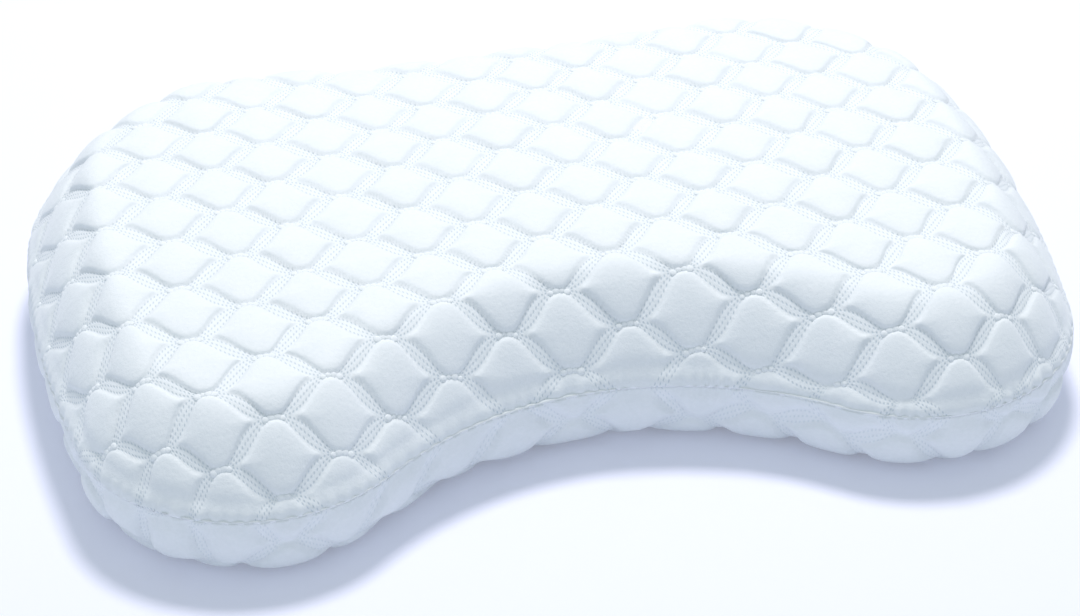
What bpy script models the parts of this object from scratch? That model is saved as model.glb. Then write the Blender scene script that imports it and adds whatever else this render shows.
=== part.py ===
"""Contour neck pillow: a moulded foam core in a stretch liner and a quilted, zipped cover.

Metres, +Z up. +X runs along the long side, -Y faces the deep shoulder recess and +Y the
shallow head recess, which holds the zip. The origin is on the underside, below the middle.

The outline is a chain of tangent arcs: two waists, four corner lobes and two full ends.
Every textile layer lies at its own depth under the one outer surface.
"""

import math

import bmesh
import bpy
from mathutils import Matrix, Vector

# Overall size of the made-up pillow.
LENGTH = 0.600
DEPTH = 0.410
HEIGHT = 0.105

# Outline: corner lobes, and how far each stays inside the plane of the short end.
NEAR_LOBE_RADIUS = 0.100
NEAR_LOBE_SETBACK = 0.0115
FAR_LOBE_RADIUS = 0.150
FAR_LOBE_SETBACK = 0.002
SHOULDER_RECESS = 0.067
HEAD_RECESS = 0.011

# Side profile: height of the perimeter seam, and how far the top and base roll inwards.
SEAM_HEIGHT = 0.045
TOP_ROLL = 0.045
BASE_ROLL = 0.038
TOP_ROLL_POWER = 1.5
BASE_ROLL_POWER = 0.6
CROWN_DROP_ACROSS = 0.0135
CROWN_DROP_ALONG = 0.0022
STRAIGHT_BESIDE_SEAM = 0.003

# Textile layers, from the outside in, and the gap that keeps touching layers apart.
FACE_THICKNESS = 0.0010
WADDING_THICKNESS = 0.0040
LINER_THICKNESS = 0.0006
LAYER_GAP = 0.0003
SEAM_ALLOWANCE_THICKNESS = 0.0016

# Zip in the head recess: a nylon coil zip whose chain lies along the waist arc.
ZIP_LENGTH = 0.230
ZIP_OPENING_HEIGHT = 0.012
TAPE_THICKNESS = 0.0007
TAPE_DEPTH = 0.0022
COIL_HEIGHT = 0.0024
COIL_THICKNESS = 0.0013
COIL_END_INSET = 0.006
STOP_LENGTH = 0.0026
STOP_WALL = 0.0005
SLIDER_LENGTH = 0.0100
SLIDER_PLATE = 0.0010
SLIDER_CLEARANCE = 0.0004
SLIDER_WALL = 0.0009
BRIDGE_LENGTH = 0.0064
BRIDGE_RISE = 0.0030
BRIDGE_WIRE_RADIUS = 0.00055
PULL_LENGTH = 0.024
PULL_WIDTH = 0.0060
PULL_THICKNESS = 0.0009
PULL_BAR = 0.0009
PULL_EYE_WIDTH = 0.0026
PULL_EYE_CLEARANCE = 0.0006
PULL_SLOT_LENGTH = 0.0090
PULL_SLOT_WIDTH = 0.0020

# Care label, sewn into the seam on the right-hand far lobe.
LABEL_WIDTH = 0.030
LABEL_DROP = 0.024
LABEL_THICKNESS = 0.0005
LABEL_BEARING = math.radians(68)

# Mesh steps along each stretch of the outline and up each roll.
WAIST_STEPS = 6
LOBE_TO_APEX_STEPS = 2
APEX_TO_CORNER_STEPS = 2
CORNER_TO_END_STEPS = 3
END_STEPS = (2, 1)
TOP_ROLL_STEPS = 6
BASE_ROLL_STEPS = 5
TAPE_STEPS = 24
COIL_STEPS = 32
STOP_STEPS = 2
LABEL_STEPS = 8
BRIDGE_STEPS = 6
PULL_END_STEPS = 8
HOLE_END_STEPS = 5
WIRE_RESOLUTION = 2
BEVEL_SEGMENTS = 2
BEVEL_ANGLE = math.radians(40)
WELD_DISTANCE = 1e-6

HALF_LENGTH = LENGTH / 2
HALF_DEPTH = DEPTH / 2
SEAM_HALF_GAP = SEAM_ALLOWANCE_THICKNESS / 2 + LAYER_GAP
WADDING_DEPTH = FACE_THICKNESS + LAYER_GAP
LINER_DEPTH = WADDING_DEPTH + WADDING_THICKNESS + LAYER_GAP
CORE_DEPTH = LINER_DEPTH + LINER_THICKNESS + LAYER_GAP
WINDOW_PROUD = TAPE_DEPTH + 2 * LAYER_GAP
COIL_EDGE_RADIUS = COIL_THICKNESS / 4
STOP_EDGE_RADIUS = STOP_WALL / 2
SLIDER_EDGE_RADIUS = SLIDER_WALL / 4

COLOURS = {
    "cover": ((0.90, 0.91, 0.93, 1), 0.85, 0.0),
    "wadding": ((0.93, 0.93, 0.92, 1), 0.95, 0.0),
    "liner": ((0.86, 0.86, 0.84, 1), 0.90, 0.0),
    "foam": ((0.88, 0.84, 0.70, 1), 0.90, 0.0),
    "thread": ((0.88, 0.89, 0.91, 1), 0.75, 0.0),
    "tape": ((0.86, 0.87, 0.89, 1), 0.80, 0.0),
    "coil": ((0.84, 0.85, 0.87, 1), 0.40, 0.0),
    "metal": ((0.62, 0.62, 0.61, 1), 0.30, 1.0),
    "label": ((0.90, 0.90, 0.89, 1), 0.70, 0.0),
}


def clear_scene():
    for old in list(bpy.data.objects):
        bpy.data.objects.remove(old, do_unlink=True)


def make_collection(name, hidden=False):
    collection = bpy.data.collections.new(name)
    collection.hide_render = hidden
    bpy.context.scene.collection.children.link(collection)
    return collection


def make_material(name):
    colour, roughness, metallic = COLOURS[name]
    material = bpy.data.materials.new(name)
    material.use_nodes = True
    shader = material.node_tree.nodes["Principled BSDF"]
    shader.inputs["Base Color"].default_value = colour
    shader.inputs["Roughness"].default_value = roughness
    shader.inputs["Metallic"].default_value = metallic
    material.diffuse_color = colour
    return material


def add_object(name, data, collection, material=None):
    obj = bpy.data.objects.new(name, data)
    collection.objects.link(obj)
    if material:
        data.materials.append(material)
    return obj


def mesh_from(build, name):
    """A new mesh with the shape that the bmesh holds. The bmesh is freed."""
    mesh = bpy.data.meshes.new(name)
    build.to_mesh(mesh)
    build.free()
    return mesh


def bearing(vector):
    return math.atan2(vector.y, vector.x)


# --- Outline of the pillow, as tangent arcs ---------------------------------------------


def waist_radius(lobe_x, lobe_radius, recess):
    """Radius of the hollow arc that touches both lobes and is recessed by this much."""
    rise = lobe_radius - recess
    return (lobe_x**2 + rise**2 - lobe_radius**2) / (2 * recess)


def end_arc(near_centre, far_centre):
    """Centre and radius of the full arc that touches both lobes and the end plane."""

    def radius_from(lobe_centre, lobe_radius, setback, y):
        return (setback + 2 * lobe_radius) / 2 + (y - lobe_centre.y) ** 2 / (2 * setback)

    low, high = near_centre.y, far_centre.y
    for _ in range(60):
        middle = (low + high) / 2
        from_near = radius_from(near_centre, NEAR_LOBE_RADIUS, NEAR_LOBE_SETBACK, middle)
        from_far = radius_from(far_centre, FAR_LOBE_RADIUS, FAR_LOBE_SETBACK, middle)
        if from_near < from_far:
            low = middle
        else:
            high = middle
    return Vector((HALF_LENGTH - from_near, middle)), from_near


NEAR_LOBE = Vector((HALF_LENGTH - NEAR_LOBE_SETBACK - NEAR_LOBE_RADIUS, NEAR_LOBE_RADIUS - HALF_DEPTH))
FAR_LOBE = Vector((HALF_LENGTH - FAR_LOBE_SETBACK - FAR_LOBE_RADIUS, HALF_DEPTH - FAR_LOBE_RADIUS))
SHOULDER_RADIUS = waist_radius(NEAR_LOBE.x, NEAR_LOBE_RADIUS, SHOULDER_RECESS)
HEAD_RADIUS = waist_radius(FAR_LOBE.x, FAR_LOBE_RADIUS, HEAD_RECESS)
SHOULDER_CENTRE = Vector((0, SHOULDER_RECESS - HALF_DEPTH - SHOULDER_RADIUS))
HEAD_CENTRE = Vector((0, HALF_DEPTH - HEAD_RECESS + HEAD_RADIUS))
END_CENTRE, END_RADIUS = end_arc(NEAR_LOBE, FAR_LOBE)


def arc_points(centre, radius, start, end, steps, outwards=1):
    """(point, outward normal) along an arc, without its last point."""
    found = []
    for step in range(steps):
        angle = start + (end - start) * step / steps
        direction = Vector((math.cos(angle), math.sin(angle)))
        found.append((centre + radius * direction, outwards * direction))
    return found


def right_half_outline():
    """Three runs of (point, normal): shoulder waist to corner, corner to corner, corner to head waist."""
    quarter = math.pi / 2
    to_end_near = bearing(NEAR_LOBE - END_CENTRE)
    to_end_far = bearing(FAR_LOBE - END_CENTRE)
    near_corner = (to_end_near - quarter) / 2
    far_corner = (to_end_far + quarter) / 2
    near = arc_points(
        SHOULDER_CENTRE, SHOULDER_RADIUS, quarter, bearing(NEAR_LOBE - SHOULDER_CENTRE), WAIST_STEPS, -1
    )
    near += arc_points(
        NEAR_LOBE, NEAR_LOBE_RADIUS, bearing(SHOULDER_CENTRE - NEAR_LOBE), -quarter, LOBE_TO_APEX_STEPS
    )
    near += arc_points(NEAR_LOBE, NEAR_LOBE_RADIUS, -quarter, near_corner, APEX_TO_CORNER_STEPS)
    end = arc_points(NEAR_LOBE, NEAR_LOBE_RADIUS, near_corner, to_end_near, CORNER_TO_END_STEPS)
    end += arc_points(END_CENTRE, END_RADIUS, to_end_near, 0, END_STEPS[0])
    end += arc_points(END_CENTRE, END_RADIUS, 0, to_end_far, END_STEPS[1])
    end += arc_points(FAR_LOBE, FAR_LOBE_RADIUS, to_end_far, far_corner, CORNER_TO_END_STEPS)
    far = arc_points(FAR_LOBE, FAR_LOBE_RADIUS, far_corner, quarter, APEX_TO_CORNER_STEPS)
    far += arc_points(
        FAR_LOBE, FAR_LOBE_RADIUS, quarter, bearing(HEAD_CENTRE - FAR_LOBE), LOBE_TO_APEX_STEPS
    )
    far += arc_points(HEAD_CENTRE, HEAD_RADIUS, bearing(FAR_LOBE - HEAD_CENTRE), -quarter, WAIST_STEPS, -1)
    far.append((Vector((0, HALF_DEPTH - HEAD_RECESS)), Vector((0, 1))))
    return near, end, far


def mirrored(run):
    return [(Vector((-p.x, p.y)), Vector((-n.x, n.y))) for p, n in reversed(run)]


def full_outline():
    """The closed outline from the left near corner, and the step counts of a long and a short side."""
    near, end, far = right_half_outline()
    far_corner = far[:1]
    near_corner = end[:1]
    left_end = mirrored(end + far_corner)[:-1]
    left_near = mirrored(near[1:] + near_corner)
    ring = left_near + near + end + far + mirrored(far[:-1])[:-1] + left_end
    return ring, 2 * len(near), len(end)


RING, LONG_STEPS, SHORT_STEPS = full_outline()


def grid_over(ring):
    """The points inside a closed ring, blended from its two long and two short sides."""
    count = len(ring)
    near = ring[: LONG_STEPS + 1]
    right = ring[LONG_STEPS : LONG_STEPS + SHORT_STEPS + 1]
    far = ring[LONG_STEPS + SHORT_STEPS : 2 * LONG_STEPS + SHORT_STEPS + 1][::-1]
    left = [ring[-step % count] for step in range(SHORT_STEPS + 1)]
    rows = []
    for j in range(1, SHORT_STEPS):
        v = j / SHORT_STEPS
        row = []
        for i in range(1, LONG_STEPS):
            u = i / LONG_STEPS
            across = near[i] * (1 - v) + far[i] * v
            along = left[j] * (1 - u) + right[j] * u
            corners = (near[0] * (1 - u) + near[-1] * u) * (1 - v)
            corners += (far[0] * (1 - u) + far[-1] * u) * v
            row.append(across + along - corners)
        rows.append(row)
    return rows


# --- Outer surface of the pillow -------------------------------------------------------


def top_height(point):
    across = CROWN_DROP_ACROSS * (point.y / HALF_DEPTH) ** 2
    along = CROWN_DROP_ALONG * (point.x / HALF_LENGTH) ** 2
    return HEIGHT - across - along


def roll_levels(roll, power, steps):
    """(inset, share of the rise) at each level from the wall over the rounded edge."""
    levels = []
    for step in range(1, steps + 1):
        angle = math.pi / 2 * step / steps
        inset = roll * (1 - max(math.cos(angle), 0) ** power)
        levels.append((inset, math.sin(angle) ** power))
    return levels


def half_rings(upper):
    """Rings of 3-D points from the seam to the rim of the top, or of the base."""
    side = 1 if upper else -1
    start = SEAM_HEIGHT + side * SEAM_HALF_GAP
    wall = start + side * STRAIGHT_BESIDE_SEAM
    rings = [[Vector((p.x, p.y, start)) for p, _ in RING], [Vector((p.x, p.y, wall)) for p, _ in RING]]
    top_roll = (TOP_ROLL, TOP_ROLL_POWER, TOP_ROLL_STEPS)
    base_roll = (BASE_ROLL, BASE_ROLL_POWER, BASE_ROLL_STEPS)
    for inset, rise in roll_levels(*(top_roll if upper else base_roll)):
        ring = []
        for point, normal in RING:
            place = point - normal * inset
            goal = top_height(place) if upper else 0
            ring.append(Vector((place.x, place.y, wall + (goal - wall) * rise)))
        rings.append(ring)
    return rings


def add_cap(build, ring_verts, upper):
    """Fills the last ring with quads over a blended grid at the height of the top or base."""
    flat = [Vector((v.co.x, v.co.y)) for v in ring_verts]
    count = len(ring_verts)
    rows = [ring_verts[: LONG_STEPS + 1]]
    for j, row in enumerate(grid_over(flat), start=1):
        inner = [build.verts.new((p.x, p.y, top_height(p) if upper else 0)) for p in row]
        rows.append([ring_verts[-j % count]] + inner + [ring_verts[LONG_STEPS + j]])
    rows.append(ring_verts[LONG_STEPS + SHORT_STEPS : 2 * LONG_STEPS + SHORT_STEPS + 1][::-1])
    for lower_row, upper_row in zip(rows, rows[1:]):
        for i in range(LONG_STEPS):
            corners = [lower_row[i], lower_row[i + 1], upper_row[i + 1], upper_row[i]]
            build.faces.new(corners if upper else corners[::-1])


def bridge_rings(build, lower, upper):
    count = len(lower)
    for i in range(count):
        k = (i + 1) % count
        build.faces.new((lower[i], lower[k], upper[k], upper[i]))


def half_surface(upper):
    """A bmesh of the outer surface above or below the seam, open along the seam."""
    build = bmesh.new()
    rings = [[build.verts.new(p) for p in ring] for ring in half_rings(upper)]
    for first, second in zip(rings, rings[1:]):
        bridge_rings(build, *((first, second) if upper else (second, first)))
    add_cap(build, rings[-1], upper)
    build.normal_update()
    return build


def add_layer(name, surface, depth, thickness, collection, material):
    """A textile shell of this thickness, whose outer face lies this deep under the surface."""
    mesh = surface.copy()
    mesh.name = name
    obj = add_object(name, mesh, collection, material)
    solidify = obj.modifiers.new("Thickness", "SOLIDIFY")
    solidify.thickness = thickness
    solidify.offset = -1 - 2 * depth / thickness
    solidify.use_even_offset = True
    obj.data.shade_smooth()
    return obj


def add_core(name, depth, collection, material):
    """The closed solid at this depth under the whole surface, sunk evenly along the normals."""
    build = bmesh.new()
    upper = [[build.verts.new(p) for p in ring] for ring in half_rings(True)]
    lower = [[build.verts.new(p) for p in ring] for ring in half_rings(False)]
    for first, second in zip(upper, upper[1:]):
        bridge_rings(build, first, second)
    for first, second in zip(lower, lower[1:]):
        bridge_rings(build, second, first)
    bridge_rings(build, lower[0], upper[0])
    add_cap(build, upper[-1], True)
    add_cap(build, lower[-1], False)
    build.normal_update()
    moved = [v.co - v.normal * depth * v.calc_shell_factor() for v in build.verts]
    for vertex, place in zip(build.verts, moved):
        vertex.co = place
    obj = add_object(name, mesh_from(build, name), collection, material)
    obj.data.shade_smooth()
    return obj


# --- Pieces that follow an arc ----------------------------------------------------------


def arc_bar(name, centre, radii, heights, angles, steps):
    """A mesh: a rectangle of two radii and two heights, spun about a vertical axis at centre."""
    build = bmesh.new()
    inner, outer = radii
    low, high = heights
    corners = [(inner, low), (outer, low), (outer, high), (inner, high)]
    turn = Matrix.Rotation(angles[0], 3, "Z")
    axis_point = Vector((centre.x, centre.y, 0))
    verts = [build.verts.new(axis_point + turn @ Vector((r, 0, 0)) + Vector((0, 0, z))) for r, z in corners]
    face = build.faces.new(verts)
    geometry = [face] + list(face.edges) + verts
    bmesh.ops.spin(
        build, geom=geometry, cent=axis_point, axis=(0, 0, 1), angle=angles[1] - angles[0], steps=steps
    )
    bmesh.ops.remove_doubles(build, verts=build.verts, dist=WELD_DISTANCE)
    bmesh.ops.recalc_face_normals(build, faces=build.faces)
    return mesh_from(build, name)


def head_arc_bar(name, depths, heights, start, end, steps):
    """An arc bar along the head recess, from its depths under the surface and heights from the seam."""
    radii = [HEAD_RADIUS + depth for depth in depths]
    lifts = [SEAM_HEIGHT + height for height in heights]
    angles = [along / HEAD_RADIUS - math.pi / 2 for along in (start, end)]
    return arc_bar(name, HEAD_CENTRE, radii, lifts, angles, steps)


def round_edges(obj, width):
    bevel = obj.modifiers.new("Rounded", "BEVEL")
    bevel.width = width
    bevel.segments = BEVEL_SEGMENTS
    bevel.limit_method = "ANGLE"
    bevel.angle_limit = BEVEL_ANGLE


def cut(obj, cutter):
    boolean = obj.modifiers.new("Cut", "BOOLEAN")
    boolean.operation = "DIFFERENCE"
    boolean.solver = "EXACT"
    boolean.object = cutter


def make_cutter(name, mesh, collection):
    cutter = add_object(name, mesh, collection)
    cutter.hide_render = True
    cutter.display_type = "WIRE"
    return cutter


# --- Soft layers --------------------------------------------------------------------------


def build_layers(parts, cutters, materials):
    """Foam core, liner halves, wadding, cover panels and the seam between the panels."""
    add_core("foam_core", CORE_DEPTH, parts, materials["foam"])
    window_depth = LINER_DEPTH - LAYER_GAP / 2
    half_height = ZIP_OPENING_HEIGHT / 2
    opening = head_arc_bar(
        "zip_opening_cutter", (-WINDOW_PROUD, window_depth), (-half_height, half_height),
        -ZIP_LENGTH / 2, ZIP_LENGTH / 2, TAPE_STEPS,
    )
    window = make_cutter("zip_opening_cutter", opening, cutters)
    for half, upper in (("top", True), ("bottom", False)):
        build = half_surface(upper)
        surface = mesh_from(build, "surface_" + half)
        add_layer("liner_" + half, surface, LINER_DEPTH, LINER_THICKNESS, parts, materials["liner"])
        wadding = add_layer(
            "wadding_" + half, surface, WADDING_DEPTH, WADDING_THICKNESS, parts, materials["wadding"]
        )
        cover = add_layer("cover_panel_" + half, surface, 0, FACE_THICKNESS, parts, materials["cover"])
        cut(wadding, window)
        cut(cover, window)
        bpy.data.meshes.remove(surface)
    seam = build_seam_allowance(parts, materials["thread"])
    cut(seam, window)


def build_seam_allowance(parts, material):
    """The overlocked edges of both panels, turned inwards all round between the two covers."""
    half = SEAM_ALLOWANCE_THICKNESS / 2
    inner_depth = LINER_DEPTH - LAYER_GAP
    build = bmesh.new()
    rings = []
    for depth, height in ((0, -half), (0, half), (inner_depth, half), (inner_depth, -half)):
        places = [(p - n * depth).to_3d() + Vector((0, 0, SEAM_HEIGHT + height)) for p, n in RING]
        rings.append([build.verts.new(place) for place in places])
    for first, second in zip(rings, rings[1:] + rings[:1]):
        bridge_rings(build, first, second)
    bmesh.ops.recalc_face_normals(build, faces=build.faces)
    return add_object("seam_allowance", mesh_from(build, "seam_allowance"), parts, material)


def build_label(parts, material):
    """A blank woven label that hangs outside the wall from the seam on the far lobe."""
    half_turn = LABEL_WIDTH / 2 / FAR_LOBE_RADIUS
    radii = (FAR_LOBE_RADIUS + LAYER_GAP, FAR_LOBE_RADIUS + LAYER_GAP + LABEL_THICKNESS)
    top = SEAM_HEIGHT - SEAM_HALF_GAP
    mesh = arc_bar(
        "care_label", FAR_LOBE, radii, (top - LABEL_DROP, top),
        (LABEL_BEARING - half_turn, LABEL_BEARING + half_turn), LABEL_STEPS,
    )
    add_object("care_label", mesh, parts, material)


# --- Zip ------------------------------------------------------------------------------------

COIL_FRONT = TAPE_DEPTH - LAYER_GAP - COIL_THICKNESS
COIL_HALF_GAP = LAYER_GAP / 2
COIL_OUTER = COIL_HALF_GAP + COIL_HEIGHT
CHAIN_HALF = ZIP_LENGTH / 2 - COIL_END_INSET
SLIDER_REST = -CHAIN_HALF + STOP_LENGTH + LAYER_GAP + SLIDER_LENGTH / 2
PLATE_BACK = SLIDER_CLEARANCE - COIL_FRONT
PLATE_FRONT = PLATE_BACK + SLIDER_PLATE
CHANNEL_HALF = COIL_OUTER + SLIDER_CLEARANCE
SLIDER_HALF_HEIGHT = CHANNEL_HALF + SLIDER_WALL
PULL_AXIS_OUT = PLATE_FRONT + (BRIDGE_RISE - 2 * BRIDGE_WIRE_RADIUS) / 2


def build_tapes(parts, material):
    """The two woven tapes, each set back from the edge of the opening in the cover."""
    half = ZIP_LENGTH / 2 - LAYER_GAP
    depths = (TAPE_DEPTH, TAPE_DEPTH + TAPE_THICKNESS)
    inner, outer = COIL_HALF_GAP, ZIP_OPENING_HEIGHT / 2 - LAYER_GAP
    for name, heights in (("zip_tape_upper", (inner, outer)), ("zip_tape_lower", (-outer, -inner))):
        add_object(name, head_arc_bar(name, depths, heights, -half, half, TAPE_STEPS), parts, material)


def build_coils(parts, material):
    """The two rows of nylon coil, as closed rows side by side on the front of their tapes."""
    depths = (COIL_FRONT, COIL_FRONT + COIL_THICKNESS)
    rows = (
        ("zip_coil_upper", (COIL_HALF_GAP, COIL_OUTER)),
        ("zip_coil_lower", (-COIL_OUTER, -COIL_HALF_GAP)),
    )
    end = CHAIN_HALF - LAYER_GAP
    for name, heights in rows:
        mesh = head_arc_bar(name, depths, heights, STOP_LENGTH - end, end - STOP_LENGTH, COIL_STEPS)
        round_edges(add_object(name, mesh, parts, material), COIL_EDGE_RADIUS)


def build_stops(parts, material):
    """Metal stops past the chain: one for each tape at the closed end, and one wide one."""
    depths = (COIL_FRONT - STOP_WALL, COIL_FRONT + COIL_THICKNESS)
    outer = COIL_OUTER + STOP_WALL
    closed = (-CHAIN_HALF, STOP_LENGTH - CHAIN_HALF - LAYER_GAP)
    opened = (CHAIN_HALF - STOP_LENGTH + LAYER_GAP, CHAIN_HALF)
    places = (
        ("zip_top_stop_upper", (COIL_HALF_GAP, outer), closed),
        ("zip_top_stop_lower", (-outer, -COIL_HALF_GAP), closed),
        ("zip_bottom_stop", (-outer, outer), opened),
    )
    for name, heights, along in places:
        mesh = head_arc_bar(name, depths, heights, *along, STOP_STEPS)
        round_edges(add_object(name, mesh, parts, material), STOP_EDGE_RADIUS)


def box_mesh(name, low, high):
    size = [b - a for a, b in zip(low, high)]
    middle = [(a + b) / 2 for a, b in zip(low, high)]
    build = bmesh.new()
    bmesh.ops.create_cube(build, size=1, matrix=Matrix.Translation(middle) @ Matrix.Diagonal((*size, 1)))
    return mesh_from(build, name)


def add_polyline(curve, points, cyclic):
    spline = curve.splines.new("POLY")
    spline.points.add(len(points) - 1)
    spline.use_cyclic_u = cyclic
    for control, place in zip(spline.points, points):
        control.co = (*place, 1)


def welded_mesh(curve, turn=None):
    """The curve's solid as a closed mesh, turned by a matrix. The curve is removed."""
    holder = add_object(curve.name + "_curve", curve, bpy.context.scene.collection)
    graph = bpy.context.evaluated_depsgraph_get()
    mesh = bpy.data.meshes.new_from_object(holder.evaluated_get(graph))
    bpy.data.objects.remove(holder)
    bpy.data.curves.remove(curve)
    if turn:
        mesh.transform(turn)
    build = bmesh.new()
    build.from_mesh(mesh)
    bmesh.ops.remove_doubles(build, verts=build.verts, dist=WELD_DISTANCE)
    bmesh.ops.recalc_face_normals(build, faces=build.faces)
    build.to_mesh(mesh)
    build.free()
    return mesh


def tube_mesh(name, points, radius):
    """A mesh of a round wire along these points, with welded end caps."""
    curve = bpy.data.curves.new(name, "CURVE")
    curve.dimensions = "3D"
    curve.bevel_depth = radius
    curve.bevel_resolution = WIRE_RESOLUTION
    curve.use_fill_caps = True
    add_polyline(curve, points, False)
    return welded_mesh(curve)


def outline_plate(name, loops, thickness):
    """A flat plate in the XZ plane, centred on Y = 0: the first loop is its edge, the others holes."""
    curve = bpy.data.curves.new(name, "CURVE")
    curve.dimensions = "2D"
    curve.fill_mode = "BOTH"
    curve.extrude = thickness / 2
    for loop in loops:
        add_polyline(curve, [(x, z, 0) for x, z in loop], True)
    return welded_mesh(curve, Matrix.Rotation(math.pi / 2, 4, "X"))


def rounded_slot(length, width, steps, middle):
    """Points round a slot with half-round ends, along X."""
    straight = (length - width) / 2
    points = []
    for side in (1, -1):
        for step in range(steps + 1):
            angle = math.pi * step / steps - math.pi / 2
            x = straight + width / 2 * math.cos(angle)
            z = width / 2 * math.sin(angle)
            points.append((middle + side * x, side * z))
    return points


def build_slider(parts, cutters, material):
    """The slider: a plate with two flanges over the chain, and a wire bridge for the pull.

    It hangs under an empty on the axis of the head recess, so turning the empty moves it along.
    """
    axis = bpy.data.objects.new("zip_travel_axis", None)
    parts.objects.link(axis)
    axis.location = (HEAD_CENTRE.x, HEAD_CENTRE.y, SEAM_HEIGHT)
    axis.rotation_euler.z = SLIDER_REST / HEAD_RADIUS
    half = SLIDER_LENGTH / 2
    flange_back = -(COIL_FRONT + COIL_THICKNESS)
    low = (-half, flange_back, -SLIDER_HALF_HEIGHT)
    high = (half, PLATE_FRONT, SLIDER_HALF_HEIGHT)
    body = add_object("zip_slider", box_mesh("zip_slider", low, high), parts, material)
    channel_low = (-SLIDER_LENGTH, 2 * flange_back, -CHANNEL_HALF)
    channel_high = (SLIDER_LENGTH, PLATE_BACK, CHANNEL_HALF)
    channel_box = box_mesh("slider_channel_cutter", channel_low, channel_high)
    channel = make_cutter("slider_channel_cutter", channel_box, cutters)
    cut(body, channel)
    round_edges(body, SLIDER_EDGE_RADIUS)
    wire = tube_mesh("slider_bridge_joiner", bridge_points(), BRIDGE_WIRE_RADIUS)
    bridge = make_cutter("slider_bridge_joiner", wire, cutters)
    union = body.modifiers.new("Bridge", "BOOLEAN")
    union.operation = "UNION"
    union.solver = "EXACT"
    union.object = bridge
    for helper in (channel, bridge):
        helper.parent = body
    body.parent = axis
    body.location = (0, -HEAD_RADIUS, 0)
    return body


def bridge_points():
    """A wire arch over the plate, with its feet sunk into the plate."""
    half = BRIDGE_LENGTH / 2
    foot = PLATE_FRONT - SLIDER_PLATE / 2
    crown = PLATE_FRONT + BRIDGE_RISE - BRIDGE_WIRE_RADIUS
    bow = half / 3
    shoulder = crown - bow
    points = [(-half, foot, 0), (-half, shoulder, 0)]
    for step in range(1, BRIDGE_STEPS):
        angle = math.pi * (1 - step / BRIDGE_STEPS)
        points.append((half * math.cos(angle), shoulder + bow * math.sin(angle), 0))
    points += [(half, shoulder, 0), (half, foot, 0)]
    return points


def build_pull(parts, body, material):
    """The flat pull tab: its end bar turns inside the bridge, whose leg stands in the eye."""
    hinge = bpy.data.objects.new("pull_axis", None)
    parts.objects.link(hinge)
    hinge.parent = body
    hinge.location = (0, PULL_AXIS_OUT, 0)
    eye_start = PULL_BAR / 2
    eye_end = BRIDGE_LENGTH / 2 + BRIDGE_WIRE_RADIUS + PULL_EYE_CLEARANCE
    free_end = PULL_LENGTH - PULL_BAR / 2
    outline = rounded_slot(PULL_LENGTH, PULL_WIDTH, PULL_END_STEPS, PULL_LENGTH / 2 - PULL_BAR / 2)
    eye = rounded_slot(eye_end - eye_start, PULL_EYE_WIDTH, HOLE_END_STEPS, (eye_start + eye_end) / 2)
    slot = rounded_slot(PULL_SLOT_LENGTH, PULL_SLOT_WIDTH, HOLE_END_STEPS, (eye_end + free_end) / 2)
    mesh = outline_plate("zip_pull_tab", (outline, eye, slot), PULL_THICKNESS)
    pull = add_object("zip_pull_tab", mesh, parts, material)
    pull.parent = hinge


def main():
    clear_scene()
    parts = make_collection("contour_pillow")
    cutters = make_collection("contour_pillow_cutters", hidden=True)
    materials = {name: make_material(name) for name in COLOURS}
    build_layers(parts, cutters, materials)
    build_label(parts, materials["label"])
    build_tapes(parts, materials["tape"])
    build_coils(parts, materials["coil"])
    build_stops(parts, materials["metal"])
    slider = build_slider(parts, cutters, materials["metal"])
    build_pull(parts, slider, materials["metal"])
    bpy.context.view_layer.update()


main()
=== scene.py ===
import math

import bpy
import numpy as np
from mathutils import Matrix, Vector


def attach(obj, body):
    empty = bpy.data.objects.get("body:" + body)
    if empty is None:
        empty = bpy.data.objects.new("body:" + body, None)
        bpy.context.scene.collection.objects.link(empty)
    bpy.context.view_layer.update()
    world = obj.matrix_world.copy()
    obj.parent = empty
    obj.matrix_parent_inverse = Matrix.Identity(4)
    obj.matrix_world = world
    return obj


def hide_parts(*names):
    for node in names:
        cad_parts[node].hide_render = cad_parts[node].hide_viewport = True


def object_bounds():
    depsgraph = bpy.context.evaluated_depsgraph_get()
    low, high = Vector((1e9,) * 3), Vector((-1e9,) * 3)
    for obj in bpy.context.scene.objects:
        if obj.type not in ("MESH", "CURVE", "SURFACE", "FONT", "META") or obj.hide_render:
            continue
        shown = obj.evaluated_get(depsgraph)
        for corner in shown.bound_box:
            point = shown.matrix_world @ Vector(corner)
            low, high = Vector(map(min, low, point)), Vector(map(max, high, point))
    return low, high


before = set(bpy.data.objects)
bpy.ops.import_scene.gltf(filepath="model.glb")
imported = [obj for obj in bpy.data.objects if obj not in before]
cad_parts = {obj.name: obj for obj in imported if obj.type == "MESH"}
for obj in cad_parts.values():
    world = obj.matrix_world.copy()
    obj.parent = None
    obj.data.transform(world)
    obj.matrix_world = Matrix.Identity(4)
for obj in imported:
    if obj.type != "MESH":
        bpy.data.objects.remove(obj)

cad_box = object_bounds()


# --- Foam core -------------------------------------------------------------------------
# The core is one block of viscoelastic foam, moulded in a closed tool, so it has a smooth
# skin with fine open pores. Its outline is a chain of tangent arcs: a deep hollow for the
# shoulders, a shallow one on the far side, four corner lobes and two full ends.

length, depth, height = cad_box[1] - cad_box[0]
half_length = length / 2
half_depth = depth / 2
near_lobe_radius = 0.100
near_lobe_setback = 0.0115
far_lobe_radius = 0.150
far_lobe_setback = 0.002
shoulder_recess = 0.067
head_recess = 0.011
seam_height = 0.045
top_roll = 0.045
base_roll = 0.038
top_roll_power = 1.5
base_roll_power = 0.6
crown_drop_across = 0.0135
crown_drop_along = 0.0022
softening = 0.0042
level_margin = 0.014
core_depth = 0.0065
wall_stretch = 0.875
pattern_wander = 0.0009
draft = 1


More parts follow.
